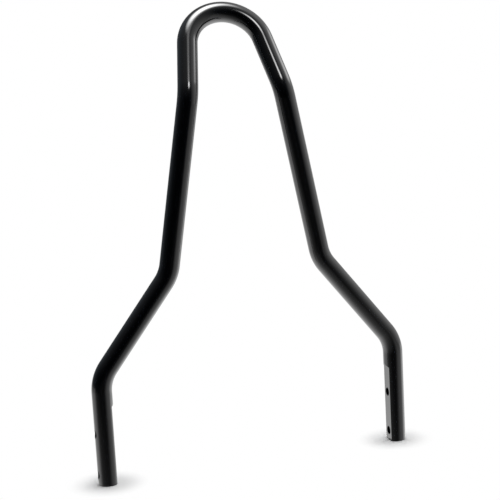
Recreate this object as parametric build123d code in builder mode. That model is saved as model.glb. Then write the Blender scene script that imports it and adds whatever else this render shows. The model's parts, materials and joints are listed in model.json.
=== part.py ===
"""Sissy bar: one round steel bar, bent into a leaning loop on two spread legs.

Millimetres. +X is to the right seen from the front, +Y to the back, +Z up along the legs.
The origin is midway between the legs, at the middle height of the bolt rows.
"""
import os
from math import cos, radians, sin, tan

from build123d import *

# the bar and its bends
bar_diameter = 19.05
bend_radius = 36.9
loop_radius = 36.9

# the two legs
leg_spacing = 290.0
leg_length = 101.0
end_chamfer = 0.8

# the run of the bar above the legs
shoulder_angle = 38.0
taper_angle = 10.1
upright_run = 166.0
lean_angle = 30.0
loop_run = 52.5

# the milled flat on the inner face of each leg
flat_length = 77.3
flat_depth = 2.4
cutter_diameter = 19.05

# the two cross holes of each leg
hole_diameter = 7.94
hole_spacing = 39.5
hole_end_distance = 9.9

bar_radius = bar_diameter / 2
shoulder = radians(shoulder_angle)
taper = radians(taper_angle)
lean = radians(lean_angle)

# corners of the centreline on the right side, worked inwards from the loop and upwards from the leg end
loop_x = loop_radius * cos(taper)
lean_x = loop_x + loop_run * sin(taper)
shoulder_x = lean_x + upright_run * sin(taper)
leg_x = leg_spacing / 2

end_z = -(hole_end_distance + hole_spacing / 2)
leg_z = end_z + leg_length
shoulder_z = leg_z + (leg_x - shoulder_x) / tan(shoulder)
lean_z = shoulder_z + upright_run * cos(taper)

# heights in the leaning plane of the loop, above the kink
loop_rise = loop_run * cos(taper)
apex_rise = loop_rise + loop_radius * (1 - sin(taper))

end_point = Vector(leg_x, 0, end_z)
leg_corner = Vector(leg_x, 0, leg_z)
shoulder_corner = Vector(shoulder_x, 0, shoulder_z)
lean_corner = Vector(lean_x, 0, lean_z)
loop_point = Vector(loop_x, loop_rise * sin(lean), lean_z + loop_rise * cos(lean))
apex = Vector(0, apex_rise * sin(lean), lean_z + apex_rise * cos(lean))

right_side = [end_point, leg_corner, shoulder_corner, lean_corner, loop_point]
left_side = [Vector(-p.X, p.Y, p.Z) for p in reversed(right_side)]

flat_x = leg_x - bar_radius + flat_depth

with BuildPart() as sissy_bar:
    # the bar, swept along its bent centreline
    with BuildLine() as centreline:
        FilletPolyline(*right_side, radius=bend_radius)
        ThreePointArc(loop_point, apex, left_side[0])
        FilletPolyline(*left_side, radius=bend_radius)
    with BuildSketch(Plane(origin=end_point, z_dir=(0, 0, 1))):
        Circle(bar_radius)
    sweep(path=centreline.wires()[0])

    for side in (-1, 1):
        # one pass of an end mill, from below the leg end up to a round run-out
        flat_plane = Plane(origin=(side * flat_x, 0, end_z), x_dir=(0, 0, 1), z_dir=(-side, 0, 0))
        pass_length = flat_length + cutter_diameter
        with BuildSketch(flat_plane):
            with Locations((flat_length - pass_length / 2, 0)):
                SlotOverall(pass_length, cutter_diameter)
        extrude(amount=bar_radius, mode=Mode.SUBTRACT)

        # two holes square to the flat, right through the bar
        with BuildSketch(flat_plane):
            with Locations((hole_end_distance, 0), (hole_end_distance + hole_spacing, 0)):
                Circle(hole_diameter / 2)
        extrude(amount=-bar_diameter, mode=Mode.SUBTRACT)

    # the sawn ends, deburred
    chamfer(sissy_bar.faces().sort_by(Axis.Z)[:2].edges(), end_chamfer)

sissy_bar.part.label = "sissy_bar"

os.makedirs("parts", exist_ok=True)
export_step(sissy_bar.part, "parts/sissy_bar.step")

length = centreline.wires()[0].length
print("bar length", round(length, 2), "volume", round(sissy_bar.part.volume, 1))
print("plain bar volume", round(length * 3.14159265 * bar_radius**2, 1))
print("box", sissy_bar.part.bounding_box(), "valid", sissy_bar.part.is_valid)
print("solids", len(sissy_bar.part.solids()), "centre", sissy_bar.part.center(CenterOf.MASS))
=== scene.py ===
import json
import math

import bmesh
import bpy
from mathutils import Matrix, Vector


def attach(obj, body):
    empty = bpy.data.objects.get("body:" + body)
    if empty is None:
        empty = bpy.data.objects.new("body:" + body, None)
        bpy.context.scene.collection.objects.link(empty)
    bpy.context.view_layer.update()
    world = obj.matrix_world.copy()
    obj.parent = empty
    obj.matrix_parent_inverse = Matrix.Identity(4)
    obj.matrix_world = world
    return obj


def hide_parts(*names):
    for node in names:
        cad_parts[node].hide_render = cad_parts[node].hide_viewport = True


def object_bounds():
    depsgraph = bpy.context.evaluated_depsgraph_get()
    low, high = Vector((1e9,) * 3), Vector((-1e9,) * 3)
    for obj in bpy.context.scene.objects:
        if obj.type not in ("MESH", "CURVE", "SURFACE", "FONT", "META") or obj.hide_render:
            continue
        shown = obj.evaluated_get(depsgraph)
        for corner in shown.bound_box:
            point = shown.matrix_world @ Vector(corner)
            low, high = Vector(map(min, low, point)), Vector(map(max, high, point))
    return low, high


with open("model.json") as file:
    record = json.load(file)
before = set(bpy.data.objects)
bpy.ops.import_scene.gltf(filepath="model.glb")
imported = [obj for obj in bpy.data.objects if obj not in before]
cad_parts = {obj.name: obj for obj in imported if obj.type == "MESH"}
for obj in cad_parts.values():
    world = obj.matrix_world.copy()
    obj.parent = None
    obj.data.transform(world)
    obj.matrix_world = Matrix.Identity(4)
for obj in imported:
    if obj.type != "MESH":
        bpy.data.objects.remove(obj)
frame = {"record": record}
cad_low, cad_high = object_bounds()


# The bar: one length of solid round steel, bent cold into a leaning loop on tapering uprights, two
# shoulders and two straight legs. Each leg is milled flat on its inner face and drilled twice, the
# edges are broken, and the whole bar is sprayed and baked in one gloss black coat.
bolts = next(m for m in frame["record"]["mounts"] if m["name"] == "right_leg_bolts")
bar_radius = -cad_low.y
leg_x = cad_high.x - bar_radius
end_z = cad_low.z
flat_x = bolts["pos_m"][0]
hole_radius = bolts["dims"]["hole_r_mm"] / 1000
hole_spacing = bolts["dims"]["spacing_y_mm"] / 1000

bend_radius = 0.0369
leg_length = 0.101
shoulder = math.radians(38.0)
taper = math.radians(10.1)
upright_run = 0.166
lean = math.radians(30.0)
loop_run = 0.0525

flat_length = 0.0773
cutter_diameter = 0.01905
end_break = 0.0008
end_break_steps = 3
runout_break = 0.0007
runout_break_depth = 0.0005
hole_break = 0.00025

film_black = (0.0004, 0.0006, 0.0011, 1.0)
film_black_thin = (0.0009, 0.0011, 0.0018, 1.0)
film_roughness = (0.09, 0.13)
film_index = 1.8
cloud_scale = 18.0
cloud_range = (0.3, 0.7)
peel_wave = 0.0030
peel_height = 0.0000016
tool_mark_pitch = 0.0009
tool_mark_height = 0.0000035
tool_mark_stretch = 0.012


def add_node(tree, kind, values=None, **settings):
    """A node with its settings, and its inputs set or linked by socket name or number."""
    node = tree.nodes.new(kind)
    for name, value in settings.items():
        setattr(node, name, value)
    for socket, value in (values or {}).items():
        if isinstance(value, bpy.types.NodeSocket):
            tree.links.new(value, node.inputs[socket])
        else:
            node.inputs[socket].default_value = value
    return node


def sum_in(tree, operation, a, b=0.0):
    """One sum in a node tree."""
    return add_node(tree, "ShaderNodeMath", {0: a, 1: b}, operation=operation).outputs[0]


def carried(tree, value, start, end, low=0.0, high=1.0, curve="LINEAR"):
    """A value carried over from the range start to end into the range low to high."""
    return add_node(
        tree,
        "ShaderNodeMapRange",
        {"Value": value, "From Min": start, "From Max": end, "To Min": low, "To Max": high},
        interpolation_type=curve,
    ).outputs["Result"]


def mixed_colour(tree, share, first, second, blend="MIX"):
    """Two colours, mixed or added by share."""
    return add_node(
        tree,
        "ShaderNodeMix",
        {0: share, 6: first, 7: second},
        data_type="RGBA",
        blend_type=blend,
    ).outputs[2]


def blank_material(name):
    """A material with an empty node tree."""
    material = bpy.data.materials.new(name)
    material.use_nodes = True
    material.node_tree.nodes.clear()
    return material


# the coat levels almost to a mirror, keeps a faint orange-peel wave, and follows the lengthwise tool
# marks under it on the milled flats
black_coat = blank_material("black_coat")
coat_tree = black_coat.node_tree
coat_place = add_node(coat_tree, "ShaderNodeTexCoord").outputs["Object"]
cloud = add_node(
    coat_tree, "ShaderNodeTexNoise", {"Vector": coat_place, "Scale": cloud_scale, "Detail": 3.0}
).outputs["Fac"]
film_colour = mixed_colour(coat_tree, cloud, film_black, film_black_thin)
film_rough = carried(coat_tree, cloud, *cloud_range, *film_roughness)
peel = add_node(
    coat_tree,
    "ShaderNodeTexNoise",
    {"Vector": coat_place, "Scale": 1.0 / peel_wave, "Detail": 1.0, "Roughness": 0.4},
)
peel_bump = add_node(
    coat_tree,
    "ShaderNodeBump",
    {"Height": peel.outputs["Fac"], "Strength": 1.0, "Distance": peel_height},
)
milled = add_node(coat_tree, "ShaderNodeAttribute", attribute_name="milled").outputs["Fac"]
along = add_node(
    coat_tree, "ShaderNodeMapping", {"Vector": coat_place, "Scale": (0.0, 1.0, tool_mark_stretch)}
)
tool_marks = add_node(
    coat_tree,
    "ShaderNodeTexNoise",
    {"Vector": along.outputs["Vector"], "Scale": 1.0 / tool_mark_pitch, "Detail": 2.0},
)
mark_bump = add_node(
    coat_tree,
    "ShaderNodeBump",
    {
        "Height": sum_in(coat_tree, "MULTIPLY", tool_marks.outputs["Fac"], milled),
        "Strength": 1.0,
        "Distance": tool_mark_height,
        "Normal": peel_bump.outputs["Normal"],
    },
)
film = add_node(
    coat_tree,
    "ShaderNodeBsdfPrincipled",
    {
        "Base Color": film_colour,
        "Roughness": film_rough,
        "IOR": film_index,
        "Normal": mark_bump.outputs["Normal"],
    },
)
add_node(coat_tree, "ShaderNodeOutputMaterial", {"Surface": film.outputs["BSDF"]})

# the corners of the centreline, from the right leg end over the peak above the loop to the left leg end
lean_x = bend_radius * math.cos(taper) + loop_run * math.sin(taper)
shoulder_x = lean_x + upright_run * math.sin(taper)
leg_z = end_z + leg_length
shoulder_z = leg_z + (leg_x - shoulder_x) / math.tan(shoulder)
lean_z = shoulder_z + upright_run * math.cos(taper)
peak_rise = lean_x / math.tan(taper)

right_side = [
    (leg_x, 0.0, end_z),
    (leg_x, 0.0, leg_z),
    (shoulder_x, 0.0, shoulder_z),
    (lean_x, 0.0, lean_z),
]
peak = (0.0, peak_rise * math.sin(lean), lean_z + peak_rise * math.cos(lean))
left_side = [(-x, y, z) for x, y, z in reversed(right_side)]
corners = right_side + [peak] + left_side

centreline = bpy.data.curves.new("bar_centreline", "CURVE")
centreline.dimensions = "3D"
spline = centreline.splines.new("POLY")
spline.points.add(len(corners) - 1)
for point, corner in zip(spline.points, corners):
    point.co = (*corner, 1.0)

bar_tree = bpy.data.node_groups.new("bent_bar", "GeometryNodeTree")
bar_tree.interface.new_socket("Corners", in_out="INPUT", socket_type="NodeSocketGeometry")
bar_sizes = {
    "Bar Radius": bar_radius,
    "Bend Radius": bend_radius,
    "Leg X": leg_x,
    "End Z": end_z,
    "Flat X": flat_x,
    "Flat Length": flat_length,
    "Cutter Diameter": cutter_diameter,
    "Hole Radius": hole_radius,
    "Hole Spacing": hole_spacing,
    "Hole Break": hole_break,
    "Runout Break": runout_break,
    "Runout Break Depth": runout_break_depth,
}
for name in bar_sizes:
    bar_tree.interface.new_socket(name, in_out="INPUT", socket_type="NodeSocketFloat")
bar_tree.interface.new_socket("Bar", in_out="OUTPUT", socket_type="NodeSocketGeometry")
size = add_node(bar_tree, "NodeGroupInput").outputs


def calc(operation, a, b=0.0):
    """One sum in the bar's tree."""
    return sum_in(bar_tree, operation, a, b)


def vector(x=0.0, y=0.0, z=0.0):
    """A point in the bar's tree."""
    return add_node(bar_tree, "ShaderNodeCombineXYZ", {0: x, 1: y, 2: z}).outputs[0]


def moved(geometry, place=(0.0, 0.0, 0.0), turn=(0.0, 0.0, 0.0)):
    """Geometry of the bar's tree, turned and then moved."""
    values = {"Geometry": geometry, "Translation": place, "Rotation": turn}
    return add_node(bar_tree, "GeometryNodeTransform", values).outputs[0]


def edge_cone(steps, radius, width, depth):
    """A flat cone that breaks a round edge by width and depth, and stands clear of it outside."""
    return add_node(
        bar_tree,
        "GeometryNodeMeshCone",
        {
            "Vertices": steps,
            "Radius Top": calc("SUBTRACT", radius, width),
            "Radius Bottom": calc("ADD", radius, calc("MULTIPLY", width, 2.0)),
            "Depth": calc("MULTIPLY", depth, 3.0),
        },
    ).outputs["Mesh"]


right_angle = math.pi / 2
across_leg = (0.0, right_angle, 0.0)
loop_steps, bend_steps, round_steps = 90, 20, 100
runout_steps, lip_steps, hole_steps = 40, 160, 48
pass_reach, drill_reach = 1.5, 2.6
nearly_half = 0.4999
crease = math.radians(28)
square_on = 0.999
near = 0.00001
merge_gap = 0.000001

# the bent bar
at_peak = add_node(
    bar_tree,
    "FunctionNodeCompare",
    {2: add_node(bar_tree, "GeometryNodeInputIndex").outputs[0], 3: len(right_side)},
    data_type="INT",
    operation="EQUAL",
)
steps = add_node(
    bar_tree,
    "GeometryNodeSwitch",
    {0: at_peak.outputs[0], 1: bend_steps, 2: loop_steps},
    input_type="INT",
)
bent = add_node(
    bar_tree,
    "GeometryNodeFilletCurve",
    {"Curve": size["Corners"], "Count": steps.outputs[0], "Radius": size["Bend Radius"]},
    mode="POLY",
)
section = add_node(
    bar_tree,
    "GeometryNodeCurvePrimitiveCircle",
    {"Resolution": round_steps, "Radius": size["Bar Radius"]},
)
round_bar = add_node(
    bar_tree,
    "GeometryNodeCurveToMesh",
    {"Curve": bent.outputs[0], "Profile Curve": section.outputs["Curve"], "Fill Caps": True},
)

# the end mill's sweep on the right leg: a slot with a round end, from below the leg end
pass_length = calc("ADD", size["Flat Length"], size["Cutter Diameter"])
pass_outline = add_node(
    bar_tree,
    "GeometryNodeCurvePrimitiveQuadrilateral",
    {"Width": size["Cutter Diameter"], "Height": pass_length},
)
pass_slot = add_node(
    bar_tree,
    "GeometryNodeFilletCurve",
    {
        "Curve": pass_outline.outputs[0],
        "Count": runout_steps,
        "Radius": calc("MULTIPLY", size["Cutter Diameter"], nearly_half),
        "Limit Radius": True,
    },
    mode="POLY",
)
pass_face = add_node(bar_tree, "GeometryNodeFillCurve", {"Curve": pass_slot.outputs[0]}, mode="NGONS")
pass_depth = calc("MULTIPLY", size["Bar Radius"], pass_reach)
pass_walls = add_node(
    bar_tree,
    "GeometryNodeExtrudeMesh",
    {"Mesh": pass_face.outputs[0], "Offset": vector(z=pass_depth), "Individual": False},
)
pass_back = add_node(bar_tree, "GeometryNodeFlipFaces", {"Mesh": pass_face.outputs[0]})
pass_parts = add_node(bar_tree, "GeometryNodeJoinGeometry")
for part in (pass_walls, pass_back):
    bar_tree.links.new(part.outputs[0], pass_parts.inputs[0])
pass_solid = add_node(
    bar_tree, "GeometryNodeMergeByDistance", {"Geometry": pass_parts.outputs[0], "Distance": merge_gap}
)
above_end = calc("SUBTRACT", size["Flat Length"], calc("MULTIPLY", pass_length, 0.5))
pass_z = calc("ADD", size["End Z"], above_end)
mill_pass = moved(
    pass_solid.outputs[0],
    vector(calc("SUBTRACT", size["Flat X"], pass_depth), 0.0, pass_z),
    (right_angle, 0.0, right_angle),
)

# the cone that breaks the edge of the round run-out
cutter_radius = calc("MULTIPLY", size["Cutter Diameter"], 0.5)
lip = edge_cone(lip_steps, cutter_radius, size["Runout Break"], size["Runout Break Depth"])
inner_face = calc("SUBTRACT", size["Leg X"], size["Bar Radius"])
lip_x = calc("SUBTRACT", inner_face, size["Runout Break Depth"])
lip_z = calc("ADD", size["End Z"], calc("SUBTRACT", size["Flat Length"], cutter_radius))
lip_cut = moved(lip, vector(lip_x, 0.0, lip_z), across_leg)

# the drill, run right through at both holes of the right leg, and the cone that breaks their edge
drill = add_node(
    bar_tree,
    "GeometryNodeMeshCylinder",
    {
        "Vertices": hole_steps,
        "Radius": size["Hole Radius"],
        "Depth": calc("MULTIPLY", size["Bar Radius"], drill_reach),
    },
)
deburr = edge_cone(hole_steps, size["Hole Radius"], size["Hole Break"], size["Hole Break"])
from_axis = calc("SUBTRACT", calc("SUBTRACT", size["Flat X"], size["Leg X"]), size["Hole Break"])
hole_tools = [
    moved(drill.outputs["Mesh"], turn=across_leg),
    moved(deburr, vector(from_axis), across_leg),
]
hole_line = add_node(
    bar_tree,
    "GeometryNodeMeshLine",
    {
        "Count": 2,
        "Start Location": vector(size["Leg X"], 0.0, calc("MULTIPLY", size["Hole Spacing"], -0.5)),
        "Offset": vector(z=size["Hole Spacing"]),
    },
)
cutters = [mill_pass, lip_cut]
for tool in hole_tools:
    at_holes = add_node(
        bar_tree, "GeometryNodeInstanceOnPoints", {"Points": hole_line.outputs[0], "Instance": tool}
    )
    holes = add_node(bar_tree, "GeometryNodeRealizeInstances", {"Geometry": at_holes.outputs[0]})
    cutters.append(holes.outputs[0])

# the same work on the left leg, half a turn round
machined = add_node(
    bar_tree,
    "GeometryNodeMeshBoolean",
    {"Mesh 1": round_bar.outputs[0]},
    operation="DIFFERENCE",
    solver="EXACT",
)
for cutter in cutters:
    bar_tree.links.new(cutter, machined.inputs["Mesh 2"])
    bar_tree.links.new(moved(cutter, turn=(0.0, 0.0, math.pi)), machined.inputs["Mesh 2"])

# the flats are marked for their tool marks, the leg ends for their breaks
where, facing = (
    add_node(bar_tree, "ShaderNodeSeparateXYZ", {0: add_node(bar_tree, kind).outputs[0]}).outputs
    for kind in ("GeometryNodeInputPosition", "GeometryNodeInputNormal")
)
off_flat = calc("ABSOLUTE", calc("SUBTRACT", calc("ABSOLUTE", where[0]), size["Flat X"]))
on_flat = calc(
    "MULTIPLY",
    calc("LESS_THAN", off_flat, near),
    calc("GREATER_THAN", calc("ABSOLUTE", facing[0]), square_on),
)
marked = add_node(
    bar_tree,
    "GeometryNodeStoreNamedAttribute",
    {"Geometry": machined.outputs["Mesh"], "Name": "milled", "Value": on_flat},
    data_type="FLOAT",
    domain="FACE",
)
edge_angle = add_node(bar_tree, "GeometryNodeInputMeshEdgeAngle").outputs[0]
sharp = calc("GREATER_THAN", edge_angle, crease)
at_end = calc("LESS_THAN", calc("SUBTRACT", where[2], size["End Z"]), near)
breaks = calc("MULTIPLY", sharp, at_end)
unbroken = calc("SUBTRACT", sharp, breaks)
weighted = add_node(
    bar_tree,
    "GeometryNodeStoreNamedAttribute",
    {"Geometry": marked.outputs[0], "Name": "bevel_weight_edge", "Value": breaks},
    data_type="FLOAT",
    domain="EDGE",
)
smooth = add_node(
    bar_tree,
    "GeometryNodeSetShadeSmooth",
    {"Geometry": weighted.outputs[0], "Shade Smooth": True},
    domain="FACE",
)
crisp = add_node(
    bar_tree,
    "GeometryNodeSetShadeSmooth",
    {"Geometry": smooth.outputs[0], "Selection": unbroken, "Shade Smooth": False},
    domain="EDGE",
)
whole = add_node(bar_tree, "GeometryNodeRealizeInstances", {"Geometry": crisp.outputs[0]})
coated = add_node(
    bar_tree, "GeometryNodeSetMaterial", {"Geometry": whole.outputs[0], "Material": black_coat}
)
add_node(bar_tree, "NodeGroupOutput", {0: coated.outputs[0]})

shaper = bpy.data.objects.new("bar_shaper", centreline)
bpy.context.scene.collection.objects.link(shaper)
bending = shaper.modifiers.new("bending", "NODES")
bending.node_group = bar_tree
for item in bar_tree.interface.items_tree:
    if item.name in bar_sizes:
        bending[item.identifier] = bar_sizes[item.name]
graph = bpy.context.evaluated_depsgraph_get()
bar_mesh = bpy.data.meshes.new_from_object(shaper.evaluated_get(graph))
bpy.data.objects.remove(shaper)

# the sawn ends are broken last, at the edges that the tree has marked
bar_mesh.name = "bent_bar"
bar = bpy.data.objects.new("bent_bar", bar_mesh)
bpy.context.scene.collection.objects.link(bar)
breaking = bar.modifiers.new("edge_breaks", "BEVEL")
breaking.limit_method = "WEIGHT"
breaking.width = end_break
breaking.segments = end_break_steps
breaking.use_clamp_overlap = False
breaking.harden_normals = True
graph = bpy.context.evaluated_depsgraph_get()
finished = bpy.data.meshes.new_from_object(bar.evaluated_get(graph))
bar.modifiers.remove(breaking)
bar.data = finished
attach(bar, "root")
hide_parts("sissy_bar")


# The floor: a wide pale sweep under the leg ends. It runs white to the horizon for the camera. Round
# the ends the white gives way to the grey matt floor. That floor takes their real soft shadow and also
# shows as a painted shade pool, darker than white even where the light is not blocked. The coat mirrors
# it only right under them.
floor_half = 6.0
# the matt floor's grey, which also paints the shade pool round the feet
floor_and_pool_grey = (0.68, 0.68, 0.68, 1.0)
white = (1.0, 1.0, 1.0, 1.0)
shade_reach = (0.01, 0.04)
shade_share = 0.95
foot_margin = 1.05

floor_paint = blank_material("floor_paint")
floor_tree = floor_paint.node_tree
floor_place = add_node(floor_tree, "ShaderNodeTexCoord").outputs["Object"]
floor_axes = add_node(floor_tree, "ShaderNodeSeparateXYZ", {0: floor_place}).outputs
off_leg = sum_in(floor_tree, "SUBTRACT", sum_in(floor_tree, "ABSOLUTE", floor_axes[0]), leg_x)
leg_way = add_node(floor_tree, "ShaderNodeCombineXYZ", {0: off_leg, 1: floor_axes[1]}).outputs[0]
from_leg = add_node(
    floor_tree, "ShaderNodeVectorMath", {0: leg_way}, operation="LENGTH"
).outputs["Value"]
# painted shade: the share of grey matt floor round each leg, a pool that reads darker than the white
# round it
painted_pool_share = carried(floor_tree, from_leg, *shade_reach, shade_share, 0.0, "SMOOTHSTEP")
under_leg = sum_in(floor_tree, "LESS_THAN", from_leg, foot_margin * bar_radius)


def floor_mix(share, first, second):
    """Two shaders of the floor, mixed by share."""
    return add_node(floor_tree, "ShaderNodeMixShader", {0: share, 1: first, 2: second}).outputs[0]


def flat_square(name, half, z, paint):
    """A level square under the bar, with its paint."""
    mesh = bpy.data.meshes.new(name)
    spots = [(-half, -half, z), (half, -half, z), (half, half, z), (-half, half, z)]
    mesh.from_pydata(spots, [], [(0, 1, 2, 3)])
    mesh.materials.append(paint)
    square = bpy.data.objects.new(name, mesh)
    bpy.context.scene.collection.objects.link(square)
    return square


matt = add_node(floor_tree, "ShaderNodeBsdfDiffuse", {"Color": floor_and_pool_grey}).outputs[0]
pure = add_node(floor_tree, "ShaderNodeEmission", {"Color": white, "Strength": 1.0}).outputs[0]
open_air = add_node(floor_tree, "ShaderNodeBsdfTransparent").outputs[0]
floor_ray = add_node(floor_tree, "ShaderNodeLightPath").outputs
floor_with_painted_pool = floor_mix(painted_pool_share, pure, matt)
floor_lit = floor_mix(floor_ray["Is Camera Ray"], matt, floor_with_painted_pool)
floor_mirrored = floor_mix(under_leg, open_air, matt)
floor_all = floor_mix(floor_ray["Is Glossy Ray"], floor_lit, floor_mirrored)
add_node(floor_tree, "ShaderNodeOutputMaterial", {"Surface": floor_all})
floor_paint.cycles.emission_sampling = "NONE"
floor = flat_square("floor", floor_half, end_z, floor_paint)


# The glowing board: a painted reflection of a lit white floor. It lies below the floor, glows without
# lighting anything and shows only in the coat, in place of the white that the camera sees. Its glow
# falls off to the front and to the left, each half by its own table, a painted fall of light.
board_half = 6.0
board_drop = 0.6
board_slant = 0.55
board_blend = 1.0
left_fade = (-3.5, -0.5)
left_share = 0.36
left_light = [
    (-2.0, 0.03),
    (-0.8, 0.2),
    (-0.4, 0.38),
    (0.0, 0.9),
    (0.3, 1.38),
    (0.6, 1.57),
    (1.0, 1.52),
    (1.7, 1.38),
    (3.0, 1.25),
    (4.5, 1.1),
]
right_light = [
    (-4.0, 0.3),
    (-2.0, 0.44),
    (-0.8, 0.62),
    (-0.5, 0.72),
    (0.0, 1.56),
    (0.3, 1.9),
    (0.6, 1.8),
    (1.3, 1.3),
    (2.5, 0.9),
    (4.5, 0.8),
]


def graded(tree, value, stops):
    """A light level that runs straight from stop to stop, each a value and a colour."""
    start, end = stops[0][0], stops[-1][0]
    ramp = add_node(tree, "ShaderNodeValToRGB", {0: carried(tree, value, start, end)})
    elements = ramp.color_ramp.elements
    for element, stop in zip(elements, (stops[0], stops[-1])):
        element.color = (*stop[1], 1.0)
    for at, colour in stops[1:-1]:
        elements.new((at - start) / (end - start)).color = (*colour, 1.0)
    return ramp.outputs["Color"]


def grey(level):
    """A neutral colour."""
    return (level, level, level)


# painted reflection: a glowing board that only the coat sees, standing in for a lit floor
reflection_glow_paint = blank_material("reflection_glow_paint")
board_tree = reflection_glow_paint.node_tree
board_place = add_node(board_tree, "ShaderNodeTexCoord").outputs["Object"]
board_axes = add_node(board_tree, "ShaderNodeSeparateXYZ", {0: board_place}).outputs
on_left, on_right = (
    graded(board_tree, board_axes[1], [(at, grey(level)) for at, level in stops])
    for stops in (left_light, right_light)
)
board_front = sum_in(board_tree, "MINIMUM", board_axes[1], 0.0)
slanted = sum_in(board_tree, "MULTIPLY", board_front, board_slant)
across = sum_in(board_tree, "ADD", slanted, board_axes[0])
to_right = carried(board_tree, across, -board_blend, board_blend, curve="SMOOTHSTEP")
board_light = mixed_colour(board_tree, to_right, on_left, on_right)
far_left = carried(board_tree, board_axes[0], *left_fade, left_share, 1.0)
board_glow = add_node(board_tree, "ShaderNodeEmission", {"Color": board_light, "Strength": far_left})
add_node(board_tree, "ShaderNodeOutputMaterial", {"Surface": board_glow.outputs[0]})
reflection_glow_paint.cycles.emission_sampling = "NONE"
board = flat_square("reflection_glow_board", board_half, end_z - board_drop, reflection_glow_paint)
board.visible_camera = False
board.visible_diffuse = False
board.visible_shadow = False


# The room: dim and cool, darkest where the camera stands and palest on the right, with a faint glow
# overhead. The camera itself sees plain white, and the coat mirrors the dim room instead.
cool_tint = (0.88, 1.0, 1.12)
ceiling_glow = 0.25
ceiling_rise = 3.0


def cool(level):
    """The bluish grey of the unlit walls."""
    return tuple(level * tint for tint in cool_tint)


wall_stops = [
    (-180, grey(0.15)),
    (-150, cool(0.2)),
    (-90, cool(0.035)),
    (-45, cool(0.004)),
    (0, cool(0.003)),
    (25, cool(0.03)),
    (50, grey(0.38)),
    (90, grey(0.90)),
    (125, grey(0.76)),
    (180, grey(0.15)),
]
world = bpy.data.worlds.new("studio")
bpy.context.scene.world = world
world.use_nodes = True
room_tree = world.node_tree
room_tree.nodes.clear()
way = add_node(room_tree, "ShaderNodeTexCoord").outputs["Generated"]
toward = add_node(room_tree, "ShaderNodeSeparateXYZ", {0: way}).outputs
to_front = sum_in(room_tree, "MULTIPLY", toward[1], -1.0)
heading = sum_in(room_tree, "ARCTAN2", toward[0], to_front)
walls = graded(room_tree, heading, [(math.radians(at), colour) for at, colour in wall_stops])
overhead = sum_in(room_tree, "POWER", sum_in(room_tree, "MAXIMUM", toward[2], 0.0), ceiling_rise)
ceiling = sum_in(room_tree, "MULTIPLY", overhead, ceiling_glow)
room = mixed_colour(room_tree, 1.0, walls, ceiling, "ADD")
room_ray = add_node(room_tree, "ShaderNodeLightPath").outputs
sky = mixed_colour(room_tree, room_ray["Is Camera Ray"], room, white)
backdrop = add_node(room_tree, "ShaderNodeBackground", {"Color": sky, "Strength": 1.0})
add_node(room_tree, "ShaderNodeOutputWorld", {"Surface": backdrop.outputs[0]})
world.cycles.sampling_method = "NONE"


# The lamps: a large soft one over the bar, a small one with a dim reflector above the camera and a
# slanted one on the right. Each is an oval that is bright in its middle and fades to its edge.
loop_centre = Vector((0.0, 0.02, 0.37))
lamp_steps = 48


def seen_at(azimuth, elevation, distance):
    """The place that the loop sees at these angles, from the front round to the right."""
    level = distance * math.cos(math.radians(elevation))
    turn = math.radians(azimuth)
    return loop_centre + Vector(
        (level * math.sin(turn), -level * math.cos(turn), distance * math.sin(math.radians(elevation)))
    )


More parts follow.
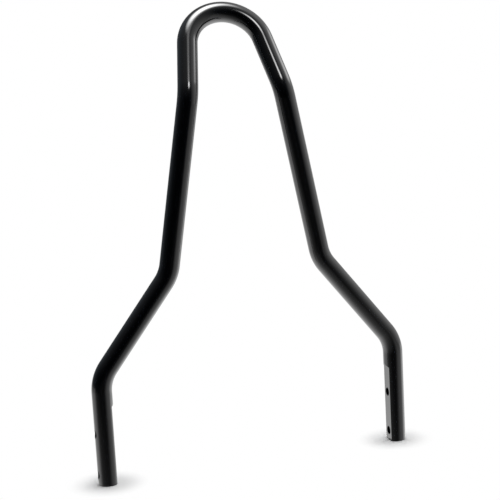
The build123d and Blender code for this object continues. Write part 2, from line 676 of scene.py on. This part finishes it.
def soft_lamp(name, place, aim, width, height, core, level, roll=0.0):
    """An oval lamp that faces aim: level in its middle, fading to nothing from core to its edge."""
    mesh = bpy.data.meshes.new(name)
    form = bmesh.new()
    bmesh.ops.create_circle(form, cap_ends=True, radius=1.0, segments=lamp_steps)
    bmesh.ops.scale(form, vec=(width / 2, height / 2, 1.0), verts=form.verts)
    form.to_mesh(mesh)
    form.free()
    paint = blank_material(name)
    tree = paint.node_tree
    spot = add_node(tree, "ShaderNodeTexCoord").outputs["Object"]
    share = add_node(
        tree, "ShaderNodeVectorMath", {0: spot, 1: (2 / width, 2 / height, 0.0)}, operation="MULTIPLY"
    )
    out = add_node(tree, "ShaderNodeVectorMath", {0: share.outputs[0]}, operation="LENGTH")
    fade = carried(tree, out.outputs["Value"], core, 1.0, level, 0.0, "SMOOTHSTEP")
    glow = add_node(tree, "ShaderNodeEmission", {"Strength": fade})
    clear = add_node(tree, "ShaderNodeBsdfTransparent")
    added = add_node(tree, "ShaderNodeAddShader", {0: glow.outputs[0], 1: clear.outputs[0]})
    add_node(tree, "ShaderNodeOutputMaterial", {"Surface": added.outputs[0]})
    mesh.materials.append(paint)
    lamp = bpy.data.objects.new(name, mesh)
    facing_aim = (Vector(aim) - Vector(place)).to_track_quat("-Z", "Y").to_matrix().to_4x4()
    lamp.matrix_world = Matrix.Translation(place) @ facing_aim @ Matrix.Rotation(roll, 4, "Z")
    lamp.visible_camera = False
    lamp.visible_shadow = False
    bpy.context.scene.collection.objects.link(lamp)


soft_lamp(
    "overhead_lamp",
    place=(0.015, 0.065, 1.57),
    aim=(0.015, 0.065, 0.0),
    width=1.36,
    height=1.36,
    core=0.07,
    level=14.5,
)
soft_lamp(
    "front_lamp",
    place=seen_at(2, 45.5, 1.4),
    aim=loop_centre,
    width=0.54,
    height=0.60,
    core=0.15,
    level=10.0,
)
soft_lamp(
    "front_reflector",
    place=seen_at(4, 60, 1.4),
    aim=loop_centre,
    width=0.84,
    height=0.56,
    core=0.2,
    level=1.1,
)
soft_lamp(
    "right_lamp",
    place=seen_at(98, 25.5, 1.3),
    aim=loop_centre,
    width=1.4,
    height=0.66,
    core=0.2,
    level=2.4,
    roll=math.radians(-16),
)


# The camera: it stands a little to the left and above, close enough for the near leg to look longer
# than the far one, and is turned slightly about its own axis.
camera_place = Vector((-0.380705, -1.266689, 0.428917))
azimuth, elevation, roll = (math.radians(a) for a in (-16.937, 10.816, -3.156))
focal_pixels, picture_pixels, sensor = 1440.91, 500, 36.0
behind = Vector(
    (
        math.sin(azimuth) * math.cos(elevation),
        -math.cos(azimuth) * math.cos(elevation),
        math.sin(elevation),
    )
)
level_right = (-behind).cross(Vector((0, 0, 1))).normalized()
level_up = level_right.cross(-behind)
right = level_right * math.cos(roll) + level_up * math.sin(roll)
up = level_up * math.cos(roll) - level_right * math.sin(roll)
camera = bpy.data.cameras.new("camera")
camera.sensor_width = sensor
camera.lens = sensor * focal_pixels / picture_pixels
camera_object = bpy.data.objects.new("camera", camera)
turn = Matrix((right, up, behind)).transposed().to_4x4()
camera_object.matrix_world = Matrix.Translation(camera_place) @ turn
bpy.context.scene.collection.objects.link(camera_object)
bpy.context.scene.camera = camera_object
bpy.context.scene.view_settings.view_transform = "Standard"
